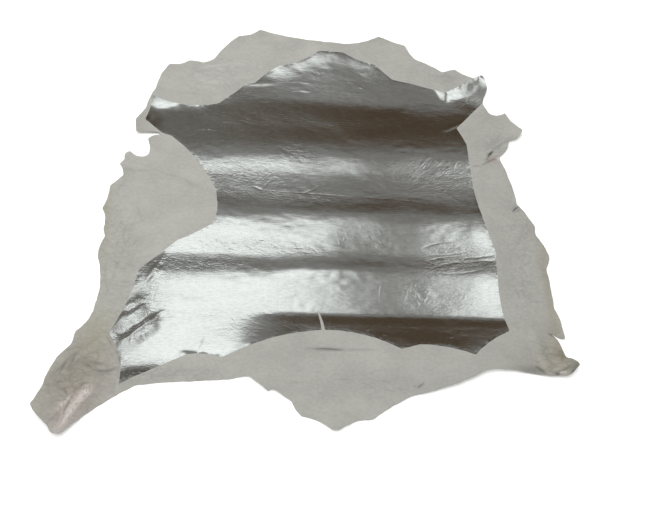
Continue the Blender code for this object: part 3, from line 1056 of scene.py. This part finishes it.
class OBJECT_OT_foiled_skin(bpy.types.Operator):
    """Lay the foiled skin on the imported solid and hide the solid"""

    bl_idname = "object.foiled_skin"
    bl_label = "Foiled skin"

    def execute(self, context):
        settings = context.scene.hide_settings
        draw = random.Random(settings.seed)
        creases = list(CREASES.values())
        for patch in STREWN.values():
            creases += strewn_creases(patch, draw)
        edge = raw_edge(OUTLINE, EDGE_RAGGEDNESS)
        foil = raw_edge(FOIL_EDGE, FOIL_RAGGEDNESS)
        pleats = [edge_points(list(pleat), PLEAT_STEP) for pleat in PLEATS.values()]
        points, grain, owners = self.grain_side(settings, edge, foil, pleats, creases)
        ring = edge_ring(grain)
        under, flesh = self.flesh_side(settings, points[ring])
        thickness = settings.thickness / MM
        raised = self.grain_relief(points, ring, foil, creases, thickness)
        middle = 0.5 * (edge.min(0) + edge.max(0))
        upper = np.column_stack([points - middle, lay_height(points) + thickness + raised])
        lower = np.column_stack([under - middle, lay_height(under)])
        mesh = self.joined(upper, lower, ring, grain, flesh, owners)
        for maker in (foil_material, bare_material, flesh_material, cut_material):
            mesh.materials.append(maker(settings))
        self.store_looks(mesh, np.concatenate([points, under]), creases)
        if mesh.validate():
            raise RuntimeError("the sheet has faces that aren't valid")
        hide = bpy.data.objects.new(HIDE_NAME, mesh)
        context.scene.collection.objects.link(hide)
        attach(hide, "root")
        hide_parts(HIDE_NODE)
        return {"FINISHED"}

    def grain_side(self, settings, edge, foil, pleats, creases):
        """Triangles of the upper side, fine under the foil and along the creases."""
        low, high = edge.min(0), edge.max(0)
        fine, coarse = settings.foil_cell / MM, settings.bare_cell / MM
        rows = []
        for crease in creases:
            line, sideways, _ = crease_line(crease, CREASE_STEP)
            sides = HAIR_ROWS if crease.width < HAIR_WIDTH else CREASE_ROWS
            rows += [line + sideways * crease.width * side for side in sides]
        rows = np.concatenate(rows)
        lines = np.concatenate([edge, foil, *pleats])
        rows = rows[inside(rows, edge)]
        rows = rows[distances(rows, lines) > LINE_GAP]
        rows = thinned(rows, ROW_GAP)
        taken = np.concatenate([lines, rows])
        under_foil = lattice(low, high, fine)
        under_foil = under_foil[inside(under_foil, foil) & inside(under_foil, edge)]
        under_foil = under_foil[distances(under_foil, taken) > 0.55 * fine]
        bare = lattice(low, high, coarse)
        bare = bare[inside(bare, edge) & ~inside(bare, foil)]
        bare = bare[distances(bare, taken) > 0.5 * coarse]
        return triangulated([edge, foil, *pleats], np.concatenate([rows, under_foil, bare]))

    def flesh_side(self, settings, ring):
        """Triangles of the underside within the same edge, finer where narrow folds run."""
        cell = settings.flesh_cell / MM
        close = lattice(ring.min(0), ring.max(0), 0.5 * cell)
        close = close[np.abs(narrow_height(close)) > NARROW_LEAST]
        close = close[inside(close, ring)]
        close = close[distances(close, ring) > 0.25 * cell]
        free = lattice(ring.min(0), ring.max(0), cell)
        free = free[inside(free, ring)]
        free = free[distances(free, np.concatenate([ring, close])) > 0.5 * cell]
        free = np.concatenate([close, free])
        points, triangles, _ = triangulated([ring], free)
        moved = np.abs(points[: len(ring)] - ring).max() > MERGE_GAP
        if moved or len(points) != len(ring) + len(free):
            raise RuntimeError("the two sides of the sheet don't share their edge")
        return points, triangles

    def grain_relief(self, points, ring, foil, creases, thickness):
        """Height of the grain side's relief, low at the edge and never through the sheet."""
        height = relief_height(points, creases, distances(points, foil), inside(points, foil))
        height *= np.clip(distances(points, points[ring]) / EDGE_FLATNESS, EDGE_SHARE, 1.0)
        return np.maximum(height, -DEEPEST_SHARE * thickness)

    def joined(self, upper, lower, ring, grain, flesh, owners):
        """One closed mesh of both sides and the cut edge between them."""
        count = len(upper)
        faces = list(grain)
        finish = [
            FOIL if FOIL_RING in owned and not owned & PLEAT_RINGS else BARE for owned in owners
        ]
        faces += [tuple(count + corner for corner in reversed(face)) for face in flesh]
        finish += [FLESH] * len(flesh)
        for index, corner in enumerate(ring):
            after = (index + 1) % len(ring)
            faces.append((ring[after], corner, count + index, count + after))
            finish.append(CUT)
        mesh = bpy.data.meshes.new(HIDE_NAME)
        mesh.from_pydata((np.concatenate([upper, lower]) * MM).tolist(), [], faces)
        mesh.polygons.foreach_set("material_index", finish)
        mesh.shade_smooth()
        mesh.set_sharp_from_angle(angle=SHARP_ANGLE)
        return mesh

    def store_looks(self, mesh, points, creases):
        """Store at the mesh's points the stains with the painted shade and highlights, and how
        crinkled, gleaming and worn the skin is.
        """
        tone = mesh.attributes.new("tone", "FLOAT_COLOR", "POINT")
        tone.data.foreach_set("color", stain_and_light_factors(points, creases).ravel())
        for name, patches in (("crinkle", CRINKLES), ("gleam", GLEAMS), ("worn", WEAR)):
            values = mesh.attributes.new(name, "FLOAT", "POINT")
            values.data.foreach_set("value", amounts(patches, points))
        mesh.update()


def thinned(points, gap):
    """Points with those left out that lie closer than gap to an earlier one."""
    kept, taken = [], {}
    for x, y in points.tolist():
        cell = (int(x // gap), int(y // gap))
        around = [
            other
            for dx in (-1, 0, 1)
            for dy in (-1, 0, 1)
            for other in taken.get((cell[0] + dx, cell[1] + dy), ())
        ]
        if all(math.hypot(x - other[0], y - other[1]) >= gap for other in around):
            taken.setdefault(cell, []).append((x, y))
            kept.append((x, y))
    return np.array(kept)


def floor_material(settings):
    """Pale matt floor with a trace of dust."""
    colour = tuple(settings.floor_colour)
    material, shader, places = surface("pale_floor", roughness=FLOOR_ROUGHNESS)
    dust = places.patches(0.9, 0.9)
    feed(shader, base_color=dust.blended(scaled(colour, 0.985), colour))
    return material


def room_light(world, settings):
    """A room that is bright behind the camera and to the left, and dark brown beyond the skin."""
    world.use_nodes = True
    tree = world.node_tree
    background = tree.nodes["Background"]
    view = Wire(tree).node("ShaderNodeTexCoord", output="Generated")
    parts = [view.node("ShaderNodeSeparateXYZ", inputs={0: view}, output=axis) for axis in range(3)]
    up = parts[2].at_least(LEAST_UP)
    rightwards, away = parts[0] / up, parts[1] / up
    window = away.graded(WINDOW_AWAY) * (rightwards - RIGHT_START).graded(WINDOW_RIGHT)
    dark = rightwards.stretched(-0.15, 0.20).blended(DARK_LEFT_COLOUR, DARK_RIGHT_COLOUR)
    ceiling = away.graded(CEILING_AWAY).blended(dark, PLATEAU_COLOUR)
    lit = window.blended(ceiling, scaled(BRIGHT_COLOUR, settings.window_level, math.inf))
    room = parts[2].stretched(0.16, 0.34).blended(HORIZON_COLOUR, lit)
    tree.links.new(room.socket, background.inputs["Color"])


class OBJECT_OT_foiled_skin_stage(bpy.types.Operator):
    """Add the pale floor, the soft light and the camera"""

    bl_idname = "object.foiled_skin_stage"
    bl_label = "Stage"

    def execute(self, context):
        settings = context.scene.stage_settings
        scene = context.scene
        bpy.ops.object.select_all(action="DESELECT")
        bpy.ops.mesh.primitive_plane_add(size=settings.floor_size, location=(0, 0, -FLOOR_DROP))
        floor = context.active_object
        floor.name = FLOOR_NAME
        floor.data.materials.append(floor_material(settings))
        world = scene.world or bpy.data.worlds.new("room")
        scene.world = world
        room_light(world, settings)
        light = bpy.data.lights.new("softbox", "AREA")
        light.shape = "SQUARE"
        light.size = SOFTBOX_SIDE
        light.energy = settings.softbox_power
        softbox = bpy.data.objects.new("softbox", light)
        softbox.location = SOFTBOX_PLACE
        softbox.rotation_euler = (-SOFTBOX_PLACE).to_track_quat("-Z", "Y").to_euler()
        softbox.visible_glossy = False
        scene.collection.objects.link(softbox)
        lens = bpy.data.cameras.new("camera")
        lens.lens = CAMERA_LENS
        lens.sensor_width = CAMERA_SENSOR
        lens.clip_start = CAMERA_CLIP
        camera = bpy.data.objects.new("camera", lens)
        gaze = (CAMERA_AIM - CAMERA_PLACE).normalized()
        across = gaze.cross(Vector((math.sin(CAMERA_ROLL), math.cos(CAMERA_ROLL), 0.0))).normalized()
        turned = Matrix((across, across.cross(gaze), -gaze)).transposed()
        camera.matrix_world = Matrix.Translation(CAMERA_PLACE) @ turned.to_4x4()
        scene.collection.objects.link(camera)
        scene.camera = camera
        scene.view_settings.view_transform = "Standard"
        return {"FINISHED"}


class VIEW3D_PT_foiled_skin(bpy.types.Panel):
    """Lists what the add-on makes"""

    bl_label = "Foiled skin"
    bl_space_type = "VIEW_3D"
    bl_region_type = "UI"
    bl_category = "Leather"

    def draw(self, context):
        scene = context.scene
        for operator, settings in (
            (OBJECT_OT_foiled_skin, scene.hide_settings),
            (OBJECT_OT_foiled_skin_stage, scene.stage_settings),
        ):
            box = self.layout.box()
            for name in settings.__annotations__:
                box.prop(settings, name)
            box.operator(operator.bl_idname)


CLASSES = (
    HideSettings,
    StageSettings,
    OBJECT_OT_foiled_skin,
    OBJECT_OT_foiled_skin_stage,
    VIEW3D_PT_foiled_skin,
)


def register():
    for item in CLASSES:
        bpy.utils.register_class(item)
    bpy.types.Scene.hide_settings = bpy.props.PointerProperty(type=HideSettings)
    bpy.types.Scene.stage_settings = bpy.props.PointerProperty(type=StageSettings)


def unregister():
    del bpy.types.Scene.stage_settings
    del bpy.types.Scene.hide_settings
    for item in reversed(CLASSES):
        bpy.utils.unregister_class(item)


def main():
    register()
    bpy.ops.object.foiled_skin()
    bpy.ops.object.foiled_skin_stage()
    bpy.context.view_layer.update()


if __name__ == "__main__":
    main()
